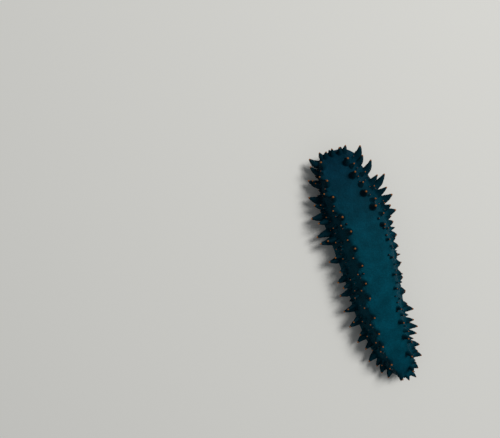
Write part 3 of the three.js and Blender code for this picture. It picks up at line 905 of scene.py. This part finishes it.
# %% Grow the tube feet
FOOT_OUTLINE = [(0, 0.92), (0.06, 1.0), (0.14, 0.96), (0.24, 0.6), (0.45, 0.52), (0.75, 0.62), (1, 0.8)]
index = np.arange(len(foot_root))
foot_u = foot_root[:, 1] / BODY_LENGTH + 0.5
foot_length = along(SOLE_HEIGHT, foot_u) + 1.3 * MM
foot_radius = (1.12 + 0.16 * scatter(index, 73)) * MM
straight_up = np.tile([0.0, 0.0, 1.0], (len(index), 1))
foot_way = unit(straight_up + 0.16 * np.stack([scatter(index, 74), scatter(index, 75), 0 * index], -1))
tube_feet, patch_size = stalk_points("tube_feet", foot_root, straight_up, foot_way, foot_length, foot_radius)
foot_tree = make_stalk_tree("tube_foot_stalks", FOOT_OUTLINE, False)
grow(tube_feet, foot_tree, sides=9, rings=6, hub_sink=-0.25 * MM, lumps=0.12, lump_size=1.0 * MM,
     patch_size=patch_size, material=foot_material)

# %% [markdown]
# The mouth lies under the head end: a soft membrane with a puckered opening, and eighteen feeding tentacles
# that mop the floor with knobbed shields. The photograph doesn't show it, so it follows the species. The
# membrane is an outline turned round an axis, the stalks come from the same tree as the papillae, and the
# knobs are spheres on points.

# %% Membrane of the mouth
MEMBRANE_OUTLINE = [(0.7, 8.5), (1.5, 7.7), (2.3, 7.05), (3.2, 6.75), (4.2, 6.8), (5.2, 7.05), (6.4, 7.2),
                    (7.6, 7.3), (8.8, 7.5), (9.7, 7.9), (10.15, 8.5), (9.9, 9.0), (7.0, 9.25), (3.0, 9.35)]
MEMBRANE_SIDES, PUCKERS, PUCKER_DEPTH = 96, 12, 0.22 * MM


def make_membrane():
    """The outline's (radius, height) pairs turned round the mouth, with folds that meet at the opening."""
    radius, height = np.array(MEMBRANE_OUTLINE).T * MM
    turn = np.linspace(0, math.tau, MEMBRANE_SIDES, endpoint=False)
    near = np.exp(-(((radius - 3.0 * MM) / (2.2 * MM)) ** 2)) * (height < 8.6 * MM)
    level = height[:, None] + PUCKER_DEPTH * np.cos(PUCKERS * turn) * near[:, None]
    x = MOUTH[0] + radius[:, None] * np.cos(-turn)
    y = MOUTH[1] + radius[:, None] * np.sin(-turn)
    ends = [(*MOUTH[:2], 9.0 * MM), (*MOUTH[:2], 9.4 * MM)]
    corners = with_ends(np.stack([x, y, level], -1), *ends)
    return new_object("mouth_membrane", corners, grid_faces(len(radius), MEMBRANE_SIDES))


mouth_membrane = make_membrane()
print("membrane has", len(mouth_membrane.data.polygons), "faces")

# %% Material of the mouth
MOUTH_PALE = (0.055, 0.075, 0.050, 1)
MOUTH_DARK = (0.012, 0.028, 0.026, 1)

mouth_material, tree = new_material("mouth_flesh", WET_ROUGHNESS, WET_SHEEN)
place = object_place(tree)
lowness = ramp(tree, split(tree, place)[2], 7.0 * MM, 1.5 * MM, 0.1, 0.6)
pale = ragged(tree, lowness, noise(tree, place, 380.0, 4.0), 0.9)
colour = blend_colours(tree, ramp(tree, pale, 0.0, 0.8), MOUTH_DARK, MOUTH_PALE)
paint(mouth_material, colour, leather_bump(tree, place, 0.3))
mouth_membrane.data.materials.append(mouth_material)

# %% Stalks of the feeding tentacles
TENTACLES = 18
ROOT_RING, SHIELD_RINGS = 5.6 * MM, (9.7 * MM, 7.2 * MM)
ROOT_LEVEL, SHIELD_LEVEL = 7.8 * MM, 1.9 * MM
STALK_OUTLINE = [(0, 1.0), (0.15, 0.86), (0.5, 0.72), (0.85, 0.74), (1, 0)]

tentacle = np.arange(TENTACLES)
bearing = tentacle / TENTACLES * math.tau + 0.05 * scatter(tentacle, 81)
spread = np.where(tentacle % 2 == 0, *SHIELD_RINGS) + 0.4 * MM * scatter(tentacle, 82)
ray = np.stack([np.cos(bearing), np.sin(bearing), 0 * bearing], -1)
stalk_root = MOUTH + ray * ROOT_RING + [0, 0, ROOT_LEVEL]
shield_centre = MOUTH + ray * spread[:, None]
shield_centre[:, 2] += SHIELD_LEVEL + 0.3 * MM * scatter(tentacle, 83)
reach = shield_centre - stalk_root
stalk_out = unit(0.35 * ray - [0, 0, 1])
tentacle_stalks, patch_size = stalk_points(
    "tentacle_stalks", stalk_root, stalk_out, unit(reach), np.linalg.norm(reach, axis=1),
    np.full(TENTACLES, 1.25 * MM))
stalk_tree = make_stalk_tree("tentacle_stalks", STALK_OUTLINE, False)
grow(tentacle_stalks, stalk_tree, sides=14, rings=12, hub_sink=0.6 * MM, lumps=0.25, lump_size=1.1 * MM,
     patch_size=patch_size, material=mouth_material)

# %% Knobs of the tentacle shields
# Each ring of knobs is a count, how wide the ring is, the knobs' radius and their rise.
KNOB_RINGS = ((1, 0.0, 1.05, 0.1), (7, 1.15, 0.56, -0.15), (13, 1.68, 0.34, -0.5))


def knob_points():
    """Knobs in rings round the middle of each shield, small ones outside: centre and radius."""
    places, sizes = [], []
    for number, centre in enumerate(shield_centre):
        for ring, (count, wide, radius, lift) in enumerate(KNOB_RINGS):
            for k in range(count):
                key = number * 61 + ring * 17 + k
                turn = (k + 0.5 * number + 0.3 * scatter(key, 84)) / count * math.tau
                out = wide * (1 + 0.12 * scatter(key, 85)) * MM
                rise = (lift + 0.12 * scatter(key, 86)) * MM
                places.append(centre + [out * math.cos(turn), out * math.sin(turn), rise])
                sizes.append(radius * (1 + 0.2 * scatter(key, 87)) * MM)
    return np.array(places), np.array(sizes)


def make_knob_tree():
    tree, given, out = new_tree("shield_knobs", sides=8, rings=6, flatness=0.8)
    shape = {"Radius": 1.0, "Segments": given["Sides"], "Rings": given["Rings"]}
    ball = add(tree, "GeometryNodeMeshUVSphere", shape).outputs["Mesh"]
    soft = add(tree, "GeometryNodeSetShadeSmooth", {"Geometry": ball}).outputs[0]
    size = attribute(tree, "radius")
    flat = product(tree, size, given["Flatness"])
    scale = add(tree, "ShaderNodeCombineXYZ", {0: size, 1: size, 2: flat}).outputs[0]
    knobs = {"Points": given["Geometry"], "Instance": soft, "Scale": scale}
    copies = add(tree, "GeometryNodeInstanceOnPoints", knobs).outputs[0]
    return finish_tree(tree, copies, given, out)


knob_place, knob_radius = knob_points()
tentacle_shields = new_object("tentacle_shields", knob_place, radius=knob_radius)
grow(tentacle_shields, make_knob_tree(), material=mouth_material)

# %% [markdown]
# Every piece rides on the one body of this still model. The skin takes the place of all the lengths of the
# body, so that no cut between them shows.

# %% Fit the pieces to the frame
BODY_LENGTHS = ("head_end", "trunk_front", "trunk_middle", "trunk_rear", "tail_end")
SOLE_LENGTHS = ("sole_front", "sole_middle", "sole_rear")
PIECES = (
    (skin, "back_skin", BODY_LENGTHS + SOLE_LENGTHS),
    (papillae, "back_skin", BODY_LENGTHS),
    (small_papillae, "back_skin", BODY_LENGTHS),
    (tube_feet, "sole_skin", SOLE_LENGTHS),
    (mouth_membrane, "mouth_flesh", ("mouth_tentacles",)),
    (tentacle_stalks, "mouth_flesh", ("mouth_tentacles",)),
    (tentacle_shields, "mouth_flesh", ("mouth_tentacles",)),
)
for piece, slot_name, nodes in PIECES:
    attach(piece, "root")
    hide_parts(*nodes)
print(len(PIECES), "pieces on the body")

# %% [markdown]
# The stage is a plain pale floor. One broad soft light stands high on the animal's right, on the same side
# as in the photograph, so that the left flank falls into shade, and a faint grey world fills the rest.
# Film-like colour mapping would wash the deep blue-green out, so colours are shown as they are.

# %% Floor and lights
FLOOR_PALE, FLOOR_HALF = (0.72, 0.71, 0.67, 1), 4.0
KEY_PLACE, KEY_SIZE, KEY_POWER = (-1.5, -0.71, 2.5), 1.2, 75
WORLD_GREY, WORLD_STRENGTH = (0.9, 0.95, 1.0, 1), 0.19

corners = [(x * FLOOR_HALF, y * FLOOR_HALF, 0) for x, y in ((-1, -1), (1, -1), (1, 1), (-1, 1))]
floor = new_object("floor", corners, [(0, 1, 2, 3)])
floor_material, tree = new_material("pale_floor", 0.9, 0.1)
tree.nodes["Principled BSDF"].inputs["Base Color"].default_value = FLOOR_PALE
floor.data.materials.append(floor_material)

light_data = bpy.data.lights.new("key", "AREA")
light_data.shape, light_data.size, light_data.energy = "DISK", KEY_SIZE, KEY_POWER
light = bpy.data.objects.new("key", light_data)
light.location = KEY_PLACE
light.rotation_euler = (-Vector(KEY_PLACE)).to_track_quat("-Z", "Y").to_euler()  # looks at the origin
scene.collection.objects.link(light)
world = bpy.data.worlds.new("studio")
world.use_nodes = True
background = world.node_tree.nodes["Background"]
background.inputs["Color"].default_value = WORLD_GREY
background.inputs["Strength"].default_value = WORLD_STRENGTH
scene.world = world
scene.view_settings.view_transform = "Standard"
print("floor, a light and a world")

# %% Finish
bpy.context.view_layer.update()
